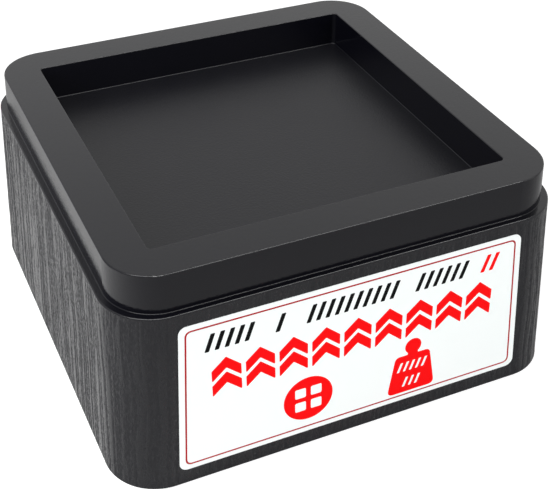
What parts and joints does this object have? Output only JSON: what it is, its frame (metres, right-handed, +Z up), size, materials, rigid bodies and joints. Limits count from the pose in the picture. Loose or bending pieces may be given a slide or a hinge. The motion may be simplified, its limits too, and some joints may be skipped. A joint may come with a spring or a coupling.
{
  "type": "bed riser",
  "caption": "Square tapered riser in black plastic that lifts a furniture leg by 76 mm, with a leg recess in a stepped stacking rim, a ribbed hollow underside and a front label.",
  "frame": {"origin": "centre of the base, on the floor", "axes": "+Z up, +X to the right of the label, -Y out of the labelled front"},
  "size_m": [0.187, 0.187, 0.0913],
  "materials": {
    "black_plastic": "black moulded plastic, satin on the rim and in the recess, with a fine upright grain moulded into the four sides of the body",
    "label_film": "white self-adhesive film, smooth",
    "label_ink_red": "flat printed red",
    "label_ink_black": "flat printed black"
  },
  "bodies": {
    "root": {"riser_body": "black_plastic", "front_label": "label_film"}
  },
  "joints": []
}
